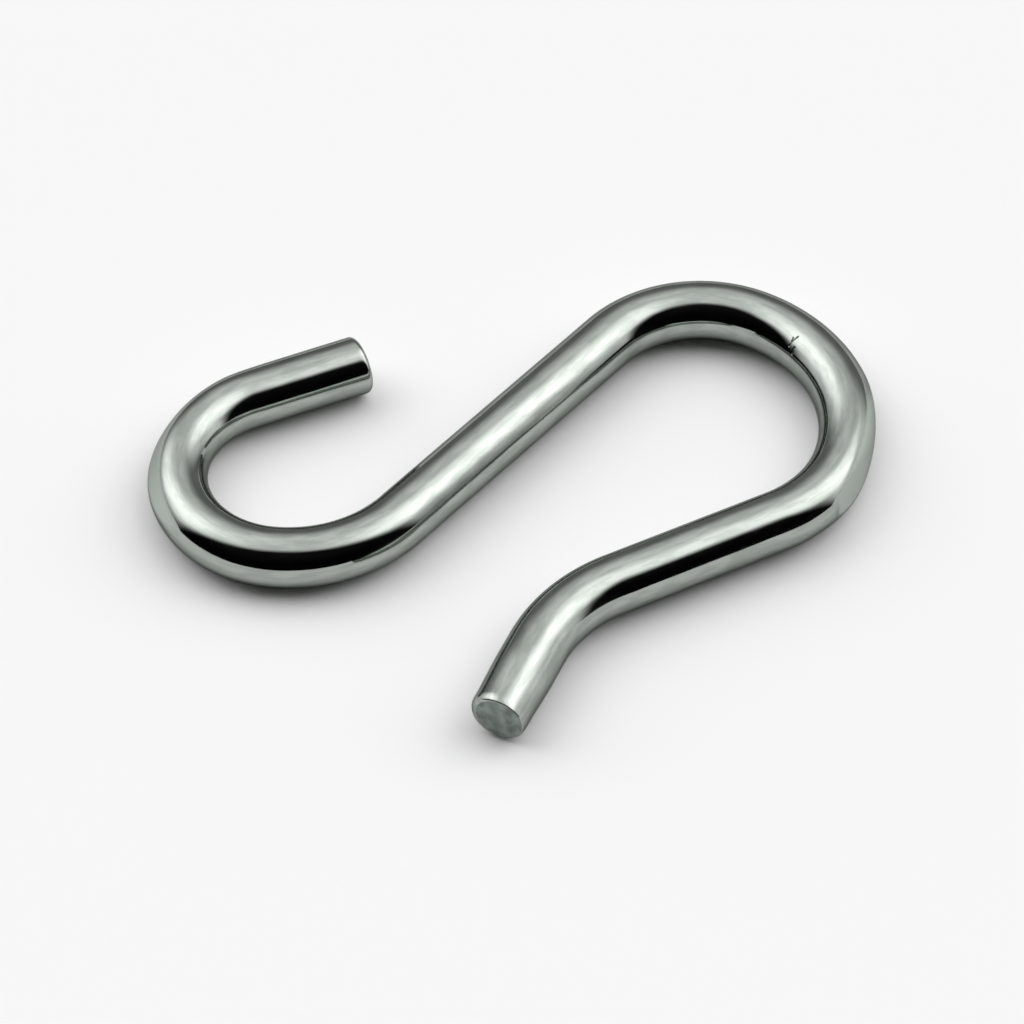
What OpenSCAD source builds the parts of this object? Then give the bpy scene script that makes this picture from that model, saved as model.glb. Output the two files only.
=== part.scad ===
// Curtain hook: one length of round steel wire, bent cold into a flat open S and plated.
// The rail bend hangs on a rail or an eye, the eyelet bend carries the curtain, and the
// lip at the free end is flared outwards so that the hook guides itself on.
// The wire is drawn stretch by stretch along its centre line, a plane curve of straights
// and arcs that meet in line. It lies on z = 0, with the origin under the middle of its
// outline, +X from the eyelet bend to the rail bend, and +Z square to the hook.

/* [Wire] */
// Diameter of the wire
wire_d = 4; // [3:0.1:5]
// Radius of the tumbled edge round both cut ends
edge_r = 0.4; // [0.1:0.05:0.8]
// Direction of the shank, counted from the hook's length
shank_dir = 40; // [30:1:50]

/* [Eyelet bend] */
// Length of the straight tip in front of the eyelet bend
eyelet_tip_len = 8.2; // [6:0.1:12]
// Radius of the eyelet bend, on the wire's centre line
eyelet_bend_r = 7.3; // [6.5:0.1:9]
// Angle that the eyelet bend turns through
eyelet_bend_turn = 150; // [130:1:155]
// Radius of the easier bend that runs out into the shank
eyelet_run_r = 9.4; // [7.5:0.1:12]
// Angle that the run-out turns through
eyelet_run_turn = 56; // [45:1:60]

/* [Shank] */
// Length of the straight shank between the two bends
shank_len = 21.2; // [15:0.1:40]

/* [Rail bend] */
// Radius of the shoulder, where the rail bend leaves the shank
shoulder_r = 8.3; // [7:0.1:10]
// Angle that the shoulder turns through
shoulder_turn = 79; // [65:0.5:90]
// Radius of the crown, the widest part of the rail bend
crown_r = 10.8; // [9:0.1:14]
// Angle that the crown turns through
crown_turn = 79; // [65:0.5:90]
// Radius of the heel, where the rail bend runs into the leg
heel_r = 9.1; // [7:0.1:11]
// Angle that the heel turns through
heel_turn = 44.5; // [35:0.5:55]

/* [Leg and lip] */
// Length of the straight leg behind the rail bend
leg_len = 12; // [6:0.1:20]
// Radius of the bend that flares the lip outwards
lip_bend_r = 10.8; // [6:0.1:15]
// Angle that the lip flares outwards
lip_turn = 39; // [25:1:55]
// Length of the straight lip
lip_len = 6.5; // [5:0.1:12]
// How much smaller in diameter the shears left the lip's cut end
lip_draw_in = 0.25; // [0:0.05:0.6]
// Length over which the lip narrows to that end
lip_taper_len = 4.5; // [1.5:0.1:4.8]

/* [Press mark] */
// Depth of the flat that the closing tool pressed into the outside of the rail bend
press_depth = 0.85; // [0.1:0.05:1.1]
// Radius of that tool's face
press_r = 24; // [18:0.5:40]
// Angle from the start of the heel to the middle of the flat
press_turn = 3.5; // [0:0.5:20]

/* [Hidden] */

$fn = 96;
wire_r = wire_d / 2;
lip_end_r = wire_r - lip_draw_in / 2;

// The stretches of the centre line in order, each with its name, straight length, bend radius
// and turn. A straight has no radius, and a turn to the left is positive.
STRETCHES = [
    ["eyelet tip", eyelet_tip_len, 0, 0],
    ["eyelet bend", 0, eyelet_bend_r, eyelet_bend_turn],
    ["eyelet run-out", 0, eyelet_run_r, eyelet_run_turn],
    ["shank", shank_len, 0, 0],
    ["shoulder", 0, shoulder_r, -shoulder_turn],
    ["crown", 0, crown_r, -crown_turn],
    ["heel", 0, heel_r, -heel_turn],
    ["leg", leg_len, 0, 0],
    ["lip bend", 0, lip_bend_r, lip_turn],
    ["lip", lip_len, 0, 0]
];
HEEL = search(["heel"], STRETCHES)[0];
LAST = len(STRETCHES) - 1;
function length_of(stretch) = stretch[1];
function radius_of(stretch) = stretch[2];
function turn_of(stretch) = stretch[3];
first_dir = shank_dir - eyelet_run_turn - eyelet_bend_turn;

// The stretches are drawn at a hundredth of their size and scaled up as one wire, which
// keeps the rounding of each turn too small to part two stretches that meet.
small = 1 / 100;

// Unit vector in a direction, and the one square to it on the left
function along(dir) = [cos(dir), sin(dir)];
function left_of(dir) = [-sin(dir), cos(dir)];

// Way from the start of a stretch, which sets off in direction dir, to a share of its length
function way(stretch, dir, share) =
    let (side = sign(turn_of(stretch)), turned = dir + share * turn_of(stretch))
    share * length_of(stretch) * along(dir)
        + side * radius_of(stretch) * (left_of(dir) - left_of(turned));

// Direction and place at the start of each stretch, counted from the eyelet's cut end
function dir_at(i) = i == 0 ? first_dir : dir_at(i - 1) + turn_of(STRETCHES[i - 1]);
function place_at(i) = i == 0 ? [0, 0] : place_at(i - 1) + way(STRETCHES[i - 1], dir_at(i - 1), 1);

// Points all along both edges of the wire, up to the lip
edge_steps = 100;
edge_points = [
    for (i = [0:LAST - 1], k = [0:edge_steps], side = [-1, 1])
        let (share = k / edge_steps, dir = dir_at(i) + share * turn_of(STRETCHES[i]))
            place_at(i) + way(STRETCHES[i], dir_at(i), share) + side * wire_r * left_of(dir)
];

// Points round the tumbled edge on both sides of the lip's cut end
lip_points = [
    for (side = [-1, 1], k = [0:edge_steps])
        place_at(LAST) + (lip_len - edge_r) * along(dir_at(LAST))
            + side * (lip_end_r - edge_r) * left_of(dir_at(LAST))
            + edge_r * along(360 * k / edge_steps)
];

// Middle of the hook's outline
outline = concat(edge_points, lip_points);
outline_x = [for (p = outline) p[0]];
outline_y = [for (p = outline) p[1]];
middle = [min(outline_x) + max(outline_x), min(outline_y) + max(outline_y)] / 2;

// A straight stretch along +X, with what follows it at its far end
module straight(length) {
    rotate([0, 90, 0])
        cylinder(h = length, r = small * wire_r);
    translate([length, 0, 0])
        children();
}

// A bend that sets off along +X, to the left, or to the right if its turn is negative, with
// what follows it at its far end
module bend(radius, turn) {
    side = sign(turn);
    sweep = abs(turn);
    translate([0, side * radius, 0]) {
        rotate_extrude(angle = sweep, start = side > 0 ? -90 : 90 - sweep)
            translate([radius, 0])
                circle(r = small * wire_r);
        rotate(turn)
            translate([0, -side * radius, 0])
                children();
    }
}

// A straight end of the wire along +X, narrowed to its cut face, with a tumbled edge
module cut_end(length, end_r, taper_len) {
    rotate([0, 90, 0])
        rotate_extrude() {
            polygon(small * [
                [0, 0],
                [wire_r, 0],
                [wire_r, length - taper_len],
                [end_r, length - edge_r],
                [end_r - edge_r, length],
                [0, length]
            ]);
            translate(small * [end_r - edge_r, length - edge_r])
                circle(r = small * edge_r);
        }
}

// The wire from one stretch onwards, a hundredth of its size
module wire_from(i) {
    length = small * length_of(STRETCHES[i]);
    radius = small * radius_of(STRETCHES[i]);
    turn = turn_of(STRETCHES[i]);
    if (i == 0)
        translate([length, 0, 0]) {
            rotate(180)
                cut_end(eyelet_tip_len, wire_r, edge_r);
            wire_from(i + 1);
        }
    else if (i == LAST)
        cut_end(lip_len, lip_end_r, lip_taper_len);
    else if (turn == 0)
        straight(length)
            wire_from(i + 1);
    else
        bend(radius, turn)
            wire_from(i + 1);
}

// All that lay beyond the face of the closing tool, where it met the outside of the heel
module press_cut() {
    dir = dir_at(HEEL) - press_turn;
    centre_line = place_at(HEEL) + way(STRETCHES[HEEL], dir_at(HEEL), press_turn / heel_turn);
    translate(centre_line + wire_r * left_of(dir))
        rotate(dir)
            difference() {
                translate([-crown_r, -wire_d, -wire_d])
                    cube([2 * crown_r, 2 * wire_d, 2 * wire_d]);
                translate([0, -press_depth - press_r, -2 * wire_d])
                    cylinder(h = 4 * wire_d, r = press_r);
            }
}

module hook() {
    color([0.78, 0.80, 0.78])
        translate([-middle[0], -middle[1], wire_r])
            difference() {
                scale(1 / small)
                    rotate(first_dir)
                        wire_from(0);
                press_cut();
            }
}

hook();
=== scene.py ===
import math

import bmesh
import bpy
from mathutils import Matrix, Vector


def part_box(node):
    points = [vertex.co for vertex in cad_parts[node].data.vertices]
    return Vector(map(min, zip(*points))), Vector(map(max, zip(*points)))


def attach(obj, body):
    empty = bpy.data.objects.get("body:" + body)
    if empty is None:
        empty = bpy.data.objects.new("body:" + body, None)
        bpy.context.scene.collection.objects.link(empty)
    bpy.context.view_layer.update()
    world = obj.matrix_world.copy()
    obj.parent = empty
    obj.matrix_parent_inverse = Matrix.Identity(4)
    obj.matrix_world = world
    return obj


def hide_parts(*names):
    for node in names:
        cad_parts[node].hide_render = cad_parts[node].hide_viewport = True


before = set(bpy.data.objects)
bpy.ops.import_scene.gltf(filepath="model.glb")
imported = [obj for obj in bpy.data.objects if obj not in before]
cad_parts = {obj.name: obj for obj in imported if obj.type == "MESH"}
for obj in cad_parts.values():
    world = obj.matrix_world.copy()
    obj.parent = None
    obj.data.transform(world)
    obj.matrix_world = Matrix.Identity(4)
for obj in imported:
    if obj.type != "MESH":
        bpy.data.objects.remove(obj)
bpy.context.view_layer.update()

# ---------------------------------------------------------------- the wire
# The hook is one length of round steel wire. It is sheared off the coil, tumbled, and bent
# cold round pins into a flat open S: a small eyelet bend, a straight shank, and a rail bend
# of three radii that runs out into a leg and a flared lip.
MM = 0.001
WIRE_R = 2.0 * MM
SHANK_DIR = 40  # degrees, from the hook's length
STRETCHES = [  # straight length or bend radius in mm, and the turn in degrees, left positive
    ("eyelet tip", 8.2, 0),
    ("eyelet bend", 7.3, 150),
    ("eyelet run-out", 9.4, 56),
    ("shank", 21.2, 0),
    ("shoulder", 8.3, -79),
    ("crown", 10.8, -79),
    ("heel", 9.1, -44.5),
    ("leg", 12.0, 0),
    ("lip bend", 10.8, 39),
    ("lip", 6.45, 0),
]
RING_SIDES = 112
RING_GAP = 0.17 * MM
FACE_RINGS = 6
TIP_EDGE_R = 0.4 * MM
TIP_EDGE_STEPS = 8
LIP_TAPER = 4.5 * MM
LIP_DRAW_IN = 0.10 * MM
LIP_TAPER_STEPS = 18
ROLL_OVER_LEN = 0.62 * MM
ROLL_OVER_DEPTH = 0.30 * MM
ROLL_OVER_STEPS = 14

wire_bm = bmesh.new()
pressed = wire_bm.verts.layers.float.new("pressed")
straightened = wire_bm.verts.layers.float_vector.new("straightened")
rings = []


def note_ring(verts, here, along):
    """Keeps a ring, and its points' places on the straight wire: along, left and up."""
    for vert in verts:
        place = here.inverted() @ vert.co
        vert[straightened] = (along, place.y, place.z)
    rings.append((along, here.copy(), verts))


def draw_on(ring, here, along, step, run, ratio=1.0):
    """Draws the wire on by one ring of edges: a step in its own direction, and a new radius."""
    drawn = bmesh.ops.extrude_edge_only(wire_bm, edges=ring)["geom"]
    verts = [part for part in drawn if isinstance(part, bmesh.types.BMVert)]
    squeeze = Matrix.Diagonal((1, ratio, ratio, 1))
    bmesh.ops.transform(wire_bm, matrix=here @ step @ squeeze @ here.inverted(), verts=verts)
    here, along = here @ step, along + run
    note_ring(verts, here, along)
    kept = set(verts)
    ring = [e for e in drawn if isinstance(e, bmesh.types.BMEdge) and set(e.verts) <= kept]
    return ring, here, along


def draw_profile(ring, here, along, profile):
    """Draws on the straight wire through a list of distances and radii."""
    for (ahead, radius), (last_ahead, last_r) in zip(profile[1:], profile):
        run = ahead - last_ahead
        step = Matrix.Translation((run, 0, 0))
        ring, here, along = draw_on(ring, here, along, step, run, radius / last_r)
    return ring, here, along


def step_of(size, turn, steps):
    """The wire's own step, along +X, for one ring of a straight or of a bend."""
    if not turn:
        return Matrix.Translation((size * MM / steps, 0, 0))
    pin = Matrix.Translation((0, math.copysign(size * MM, turn), 0))
    return pin @ Matrix.Rotation(math.radians(turn / steps), 4, "Z") @ pin.inverted()


def ease(t):
    """Smooth rise from 0 to 1."""
    t = min(max(t, 0), 1)
    return t * t * (3 - 2 * t)


# The eyelet's cut face comes first, then its tumbled edge and the stretches up to the lip.
stretch_names = [name for name, size, turn in STRETCHES]
shank_at = stretch_names.index("shank")
turn_to_shank = sum(turn for name, size, turn in STRETCHES[:shank_at])
here = Matrix.Rotation(math.radians(SHANK_DIR - turn_to_shank), 4, "Z")
tip_here = here.copy()
along = 0.0
face_r = WIRE_R - TIP_EDGE_R
disc = bmesh.ops.create_circle(
    wire_bm, cap_ends=True, segments=RING_SIDES, radius=face_r / FACE_RINGS,
    matrix=here @ Matrix.Rotation(math.pi / 2, 4, "Y"))
note_ring(disc["verts"], here, along)
ring = list(wire_bm.edges)
edge_angles = [math.pi / 2 * k / TIP_EDGE_STEPS for k in range(TIP_EDGE_STEPS + 1)]
tip_profile = [(0.0, face_r * k / FACE_RINGS) for k in range(1, FACE_RINGS)]
tip_profile += [(TIP_EDGE_R * (1 - math.cos(a)), face_r + TIP_EDGE_R * math.sin(a))
                for a in edge_angles]
ring, here, along = draw_profile(ring, here, along, tip_profile)
for name, size, turn in STRETCHES[:-1]:
    if name == "eyelet tip":
        size -= TIP_EDGE_R / MM
    if name == "heel":
        heel_along = along
    run = abs(math.radians(turn)) * size * MM if turn else size * MM
    steps = math.ceil(run / RING_GAP)
    for _ in range(steps):
        ring, here, along = draw_on(
            ring, here, along, step_of(size, turn, steps), run / steps)

# The lip narrows a little, and its edge is rolled over towards the cut face.
lip_here = here.copy()
lip_len = STRETCHES[-1][1] * MM
taper_start = lip_len - LIP_TAPER
roll_start = lip_len - ROLL_OVER_LEN
lip_profile = [(k * taper_start / LIP_TAPER_STEPS, WIRE_R) for k in range(LIP_TAPER_STEPS)]
for k in range(LIP_TAPER_STEPS + 1):
    t = k / LIP_TAPER_STEPS
    lip_profile.append((taper_start + t * (roll_start - taper_start),
                        WIRE_R - LIP_DRAW_IN * ease(t)))
for k in range(1, ROLL_OVER_STEPS + 1):
    a = math.pi / 2 * k / ROLL_OVER_STEPS
    lip_profile.append((roll_start + ROLL_OVER_LEN * math.sin(a),
                        WIRE_R - LIP_DRAW_IN - ROLL_OVER_DEPTH * (1 - math.cos(a))))
lip_face_r = lip_profile[-1][1]
lip_profile += [(lip_len, lip_face_r * k / FACE_RINGS) for k in range(FACE_RINGS - 1, 0, -1)]
ring, here, along = draw_profile(ring, here, along, lip_profile)
bmesh.ops.holes_fill(wire_bm, edges=ring, sides=0)
wire_len = along

# The wire goes where its frame has it, by the outer sides of the eyelet bend and the crown.
low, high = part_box("hook")
to_place = Matrix.Translation((low.x - min(vert.co.x for vert in wire_bm.verts),
                               high.y - max(vert.co.y for vert in wire_bm.verts),
                               (low.z + high.z) / 2))
bmesh.ops.transform(wire_bm, matrix=to_place, verts=wire_bm.verts)

# The shears came through the eyelet's end a few degrees out of square.
TIP_SLANT = -0.049
SLANT_REACH = 1.5 * MM
tip_ahead = tip_here.to_3x3() @ Vector((1, 0, 0))
for vert in wire_bm.verts:
    from_tip, left, _ = vert[straightened]
    vert.co += tip_ahead * ease(1 - from_tip / SLANT_REACH) * (TIP_SLANT * left)

# On the lip they rolled the edge over on the side where they came in, and left it sharp on
# the other.
BURR_SIDE = 35
ROLL_OVER_ASIDE = 0.24 * MM
burr_side = math.radians(BURR_SIDE)
to_burr = lip_here.to_3x3() @ Vector((0, math.cos(burr_side), math.sin(burr_side)))
for vert in wire_bm.verts:
    into_roll = (vert[straightened][0] - wire_len) / ROLL_OVER_LEN + 1
    if into_roll > 0:
        vert.co += to_burr * ROLL_OVER_ASIDE * (1 - math.sqrt(max(1 - into_roll ** 2, 0)))

# The round bending tool pressed a flat into the outside of both bends. Each flat leans a
# little over the wire, and its rim is soft where it starts and sharp where it ends. Where
# the steel gave by more than PRESS_MARKED, the flat is fully dull and fully lightened by a
# painted reflection.
PRESS_MARKED = 0.10 * MM


def press_flat(side, lean, depth, tool_r, middle, start, enter, end, leave,
               soft_start, soft_end):
    """Presses a flat into the wire's left side, 1, or its right side, -1.

    It leans by an angle in degrees and is deepest at its middle. It comes in over a length
    from its start, and lifts off over a length from its end. Places are counted along the
    wire from the eyelet's cut face.
    """
    leaning = Matrix.Rotation(side * math.radians(lean), 4, "X")
    for along, here, verts in rings:
        if not start < along < end + leave:
            continue
        tool_here = to_place @ here @ leaning
        outward = tool_here.to_3x3() @ Vector((0, side, 0))
        depth_here = depth - (along - middle) ** 2 / (2 * tool_r)
        soft = soft_start + (soft_end - soft_start) * ease((along - start) / (end - start))
        share = ease((along - start) / enter) * (1 - ease((along - end) / leave))
        for vert in verts:
            proud = (vert.co - tool_here.translation).dot(outward) - (WIRE_R - depth_here)
            if proud < -soft:
                continue
            moved = proud - min(proud, 0) + max(soft - abs(proud), 0) ** 2 / (4 * soft)
            vert.co -= outward * moved * share
            vert[pressed] = ease(moved * share / PRESS_MARKED)


press_flat(  # on the eyelet bend, long and shallow
    side=-1, lean=28, depth=0.26 * MM, tool_r=80 * MM, middle=15.5 * MM,
    start=5.5 * MM, enter=6.5 * MM, end=21.5 * MM, leave=0.5 * MM,
    soft_start=0.7 * MM, soft_end=0.05 * MM)
press_flat(  # on the heel, where it ends in a kink
    side=1, lean=13, depth=0.42 * MM, tool_r=14.5 * MM, middle=heel_along + 1.0 * MM,
    start=heel_along - 7.0 * MM, enter=0.5 * MM, end=heel_along + 3.5 * MM, leave=0.7 * MM,
    soft_start=1.7 * MM, soft_end=0.05 * MM)

PLATED, SHEARED = 0, 1
SAME_PLACE = 0.001 * MM
bmesh.ops.recalc_face_normals(wire_bm, faces=wire_bm.faces)
for face in wire_bm.faces:
    alongs = [vert[straightened][0] for vert in face.verts]
    cut = max(alongs) < SAME_PLACE or min(alongs) > wire_len - SAME_PLACE
    face.material_index = SHEARED if cut else PLATED


def make_object(name, bm):
    """Turns a bmesh into an object in the scene."""
    mesh = bpy.data.meshes.new(name)
    bm.to_mesh(mesh)
    bm.free()
    made = bpy.data.objects.new(name, mesh)
    bpy.context.scene.collection.objects.link(made)
    return made


wire = make_object("hook_wire", wire_bm)
wire.data.shade_smooth()


def new_finish(name):
    """Makes a material, and gives it with its node tree and its shader."""
    finish = bpy.data.materials.new(name)
    finish.use_nodes = True
    return finish, finish.node_tree, finish.node_tree.nodes["Principled BSDF"]


def add_node(tree, kind, inputs, **settings):
    """Adds a node with its settings, and its inputs set to values or linked from sockets."""
    node = tree.nodes.new(kind)
    for name, value in settings.items():
        setattr(node, name, value)
    for socket, value in inputs.items():
        if isinstance(value, bpy.types.NodeSocket):
            tree.links.new(value, node.inputs[socket])
        else:
            node.inputs[socket].default_value = value
    return node


def read_mesh(tree, name, result):
    """Node that reads one of the values that the mesh keeps for its points."""
    return add_node(tree, "ShaderNodeAttribute", {}, attribute_name=name).outputs[result]


def maths(tree, operation, *values):
    """Node that works out one sum or product of its values."""
    return add_node(tree, "ShaderNodeMath", dict(enumerate(values)),
                    operation=operation).outputs["Value"]


def vector_maths(tree, operation, first, second, result="Value"):
    """Node that works out one sum, product or distance of two vectors."""
    return add_node(tree, "ShaderNodeVectorMath", {0: first, 1: second},
                    operation=operation).outputs[result]


def ramp(tree, value, start, end, low, high):
    """Node that turns a value into a smooth ramp from low to high."""
    return add_node(tree, "ShaderNodeMapRange", {
        "Value": value, "From Min": start, "From Max": end, "To Min": low, "To Max": high,
    }, interpolation_type="SMOOTHSTEP").outputs["Result"]


def grain(tree, places, per_mm, stretch=(1, 1, 1), detail=3.0):
    """Noise of so many grains a millimetre, drawn out along the wire by its stretch."""
    scale = [per_mm / MM * share for share in stretch]
    mapped = add_node(tree, "ShaderNodeMapping", {"Vector": places, "Scale": scale})
    return add_node(tree, "ShaderNodeTexNoise", {
        "Vector": mapped.outputs["Vector"], "Scale": 1.0, "Detail": detail,
    }).outputs["Fac"]


def blend_colours(tree, share, first, second):
    """Node that goes from the first colour to the second as the share goes from 0 to 1."""
    return add_node(tree, "ShaderNodeMix", {"Factor": share, "A": first, "B": second},
                    data_type="RGBA").outputs["Result"]


def raise_surface(tree, height, depth, normal=None):
    """Node that lets a height from 0 to 1 stand up by a depth, over a normal if it gets one."""
    raised = add_node(tree, "ShaderNodeBump", {"Height": height, "Distance": depth})
    if normal:
        tree.links.new(normal, raised.inputs["Normal"])
    return raised.outputs["Normal"]


def on_surface(far, around):
    """Place on the straight wire, from millimetres along it and degrees round it."""
    angle = math.radians(around)
    return Vector((far * MM, WIRE_R * math.cos(angle), WIRE_R * math.sin(angle)))


def far_from(tree, places, start, end, half_width):
    """Node that is 0 on a straight scratch and rises to 1 beside it."""
    way = end - start
    from_start = vector_maths(tree, "SUBTRACT", places, start, "Vector")
    share = vector_maths(tree, "DOT_PRODUCT", from_start, way / way.length_squared)
    share = add_node(tree, "ShaderNodeClamp", {"Value": share}).outputs["Result"]
    nearest = add_node(tree, "ShaderNodeVectorMath", {0: way, "Scale": share},
                       operation="SCALE").outputs["Vector"]
    gap = vector_maths(tree, "DISTANCE", from_start, nearest)
    return ramp(tree, gap, 0, half_width, 0, 1)


# Bright nickel plate over the drawn wire: faint draw lines run along it, and it lies a
# little unevenly, in streaks. The flats are duller, and their colour is lifted as a painted
# reflection. A nick is cut into the crown's inner side, and most of its lines are coloured near
# black.
PLATING_THIN = (0.318, 0.345, 0.318, 1)
PLATING_THICK = (0.384, 0.410, 0.382, 1)
PLATING_EDGE = (0.36, 0.36, 0.36, 1)
PLATING_ROUGHNESS = (0.06, 0.11)
STREAKS = {"per_mm": 2.4, "stretch": (0.22, 1, 1), "detail": 5.0}
STREAK_RISE = (0.38, 0.62)
DULL_SPOTS = {"per_mm": 1.3, "stretch": (0.3, 1, 1)}
DULL_RISE = (0.35, 0.7)
WAVES = {"per_mm": 0.5, "stretch": (0.6, 1, 1), "detail": 2.0}
WAVE_DEPTH = 0.014 * MM
DRAW_LINES = {"per_mm": 7.0, "stretch": (0.02, 1, 1)}
DRAW_LINE_DEPTH = 0.0011 * MM
# Lighter colour for the pressed flats: a painted reflection that lightens them.
FLAT_PAINTED_SHEEN = (0.51, 0.55, 0.51, 1)
FLAT_DULLNESS = 0.30
# Near-black colour laid along the nick's lines.
NICK_NEAR_BLACK = (0.05, 0.055, 0.05, 1)
NICK_DEPTH = 0.03 * MM
NICKS = [  # both ends, in mm along the wire and degrees round it, half the width, how dark
    ((73.00, 142), (73.14, 117), 0.090, 1.0),
    ((72.98, 133), (72.89, 124), 0.070, 0.7),
    ((73.50, 138), (73.58, 150), 0.150, 0.0),
]
plating, tree, shader = new_finish("bright_plating")
on_wire = read_mesh(tree, "straightened", "Vector")
on_flat = read_mesh(tree, "pressed", "Fac")
streaks = ramp(tree, grain(tree, on_wire, **STREAKS), *STREAK_RISE, 0, 1)
colour = blend_colours(tree, streaks, PLATING_THIN, PLATING_THICK)
# The flats take the lighter colour here, a painted reflection.
colour = blend_colours(tree, on_flat, colour, FLAT_PAINTED_SHEEN)
normal = raise_surface(tree, grain(tree, on_wire, **WAVES), WAVE_DEPTH)
normal = raise_surface(tree, grain(tree, on_wire, **DRAW_LINES), DRAW_LINE_DEPTH, normal)
for start, end, half_width, dark in NICKS:
    off_nick = far_from(
        tree, on_wire, on_surface(*start), on_surface(*end), half_width * MM)
    normal = raise_surface(tree, off_nick, NICK_DEPTH, normal)
    # The colour goes near black along this line of the nick, as far as its darkness says.
    if dark:
        dark_here = maths(tree, "MULTIPLY", maths(tree, "SUBTRACT", 1, off_nick), dark)
        colour = blend_colours(tree, dark_here, colour, NICK_NEAR_BLACK)
roughness = ramp(tree, grain(tree, on_wire, **DULL_SPOTS), *DULL_RISE, *PLATING_ROUGHNESS)
roughness = maths(tree, "ADD", roughness, maths(tree, "MULTIPLY", on_flat, FLAT_DULLNESS))
shader.inputs["Metallic"].default_value = 1
shader.inputs["Specular Tint"].default_value = PLATING_EDGE
tree.links.new(colour, shader.inputs["Base Color"])
tree.links.new(roughness, shader.inputs["Roughness"])
tree.links.new(normal, shader.inputs["Normal"])
wire.data.materials.append(plating)

# The sheared faces took little plating. They are dull and patchy, with marks from the shears.
FACE_DARK = (0.15, 0.17, 0.155, 1)
FACE_LIGHT = (0.26, 0.30, 0.27, 1)
FACE_ROUGHNESS = (0.42, 0.52)
PATCHES = {"per_mm": 1.2}
PATCH_RISE = (0.35, 0.65)
TORN = {"per_mm": 2.5, "stretch": (1, 1, 0.35)}
TORN_RISE = (0.3, 0.7)
TORN_DEPTH = 0.03 * MM
sheared, tree, shader = new_finish("sheared_face")
on_wire = read_mesh(tree, "straightened", "Vector")
torn = grain(tree, on_wire, **TORN)
patches = ramp(tree, grain(tree, on_wire, **PATCHES), *PATCH_RISE, 0, 1)
shader.inputs["Metallic"].default_value = 1
tree.links.new(blend_colours(tree, patches, FACE_DARK, FACE_LIGHT), shader.inputs["Base Color"])
tree.links.new(ramp(tree, torn, *TORN_RISE, *FACE_ROUGHNESS), shader.inputs["Roughness"])
tree.links.new(raise_surface(tree, torn, TORN_DEPTH), shader.inputs["Normal"])
wire.data.materials.append(sheared)
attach(wire, "root")
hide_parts("hook")

# ---------------------------------------------------------------- the table
# The hook lies on a plain table top. It is painted matt white, and reaches far past the hook
# on every side.
TABLE_HALF = 3.0
TABLE_WHITE = (0.95, 0.95, 0.95, 1)
table_bm = bmesh.new()
bmesh.ops.create_grid(table_bm, x_segments=1, y_segments=1, size=TABLE_HALF)
table = make_object("table_top", table_bm)
paint, _, shader = new_finish("table_paint")
shader.inputs["Base Color"].default_value = TABLE_WHITE
shader.inputs["Roughness"].default_value = 1
shader.inputs["Specular IOR Level"].default_value = 0
table.data.materials.append(paint)

# ---------------------------------------------------------------- the studio light
# Two large soft lamps stand left and right behind the hook, each with its glow on the wall
# below it, and a third glow lies low on the right. The ceiling is pale, and the side in
# front of the hook is dark.
LAMPS = [  # azimuth from +Y towards +X, elevation, inner and outer spread, and strength
    (86.5, 51.4, 3, 33.6, 1.12),
    (309, 48.2, 4, 36, 0.75),
    (78, 28.6, 7, 35.2, 0.82),
    (305, 29.7, 3, 40.4, 0.90),
    (114, -8, 3, 42, 0.80),
]
CEILING = 1.17
WALL = 0.26
WALL_RISE = (0.317, 0.879)
DARK_SIDE = (193, -12.5)
DARK_RISE = (-0.05, 0.20)
DARK_SHARE = 0.006


def toward(azimuth, elevation):
    """Unit vector towards a direction given in degrees."""
    a, e = math.radians(azimuth), math.radians(elevation)
    return math.cos(e) * math.sin(a), math.cos(e) * math.cos(a), math.sin(e)


world = bpy.data.worlds.new("studio")
world.use_nodes = True
bpy.context.scene.world = world
tree = world.node_tree
sight = add_node(tree, "ShaderNodeTexCoord", {}).outputs["Object"]
upward = vector_maths(tree, "DOT_PRODUCT", sight, (0, 0, 1))
light = ramp(tree, upward, *WALL_RISE, WALL, CEILING)
for azimuth, elevation, inner, outer, strength in LAMPS:
    near_lamp = vector_maths(tree, "DOT_PRODUCT", sight, toward(azimuth, elevation))
    lamp = ramp(tree, near_lamp, math.cos(math.radians(outer)), math.cos(math.radians(inner)),
                0, strength)
    light = maths(tree, "ADD", light, lamp)
near_dark = vector_maths(tree, "DOT_PRODUCT", sight, toward(*DARK_SIDE))
light = maths(tree, "MULTIPLY", light, ramp(tree, near_dark, *DARK_RISE, 1, DARK_SHARE))
background = tree.nodes["Background"]
background.inputs["Color"].default_value = (1, 1, 1, 1)
tree.links.new(light, background.inputs["Strength"])

# ---------------------------------------------------------------- the camera
# The camera looks down on the hook from the side where the lip is. It stands far off with a
# long lens, so the near and far stretches look almost equally thick.
AIM = Vector((-1.124, -0.123, 2.0)) * MM
CAMERA_DISTANCE = 280 * MM
CAMERA_ELEVATION = 48.51
CAMERA_TURN = -9.48
FOCAL_PX = 4291.6
IMAGE_PX = 1024
SENSOR_WIDTH = 36
NEAREST_SEEN = 10 * MM
camera_data = bpy.data.cameras.new("camera")
camera_data.sensor_width = SENSOR_WIDTH
camera_data.lens = FOCAL_PX * SENSOR_WIDTH / IMAGE_PX
camera_data.clip_start = NEAREST_SEEN
camera = bpy.data.objects.new("camera", camera_data)
bpy.context.scene.collection.objects.link(camera)
camera.matrix_world = (
    Matrix.Translation(AIM)
    @ Matrix.Rotation(math.radians(CAMERA_TURN), 4, "Z")
    @ Matrix.Rotation(math.radians(90 - CAMERA_ELEVATION), 4, "X")
    @ Matrix.Translation((0, 0, CAMERA_DISTANCE))
)
bpy.context.scene.camera = camera
bpy.context.scene.view_settings.view_transform = "Standard"
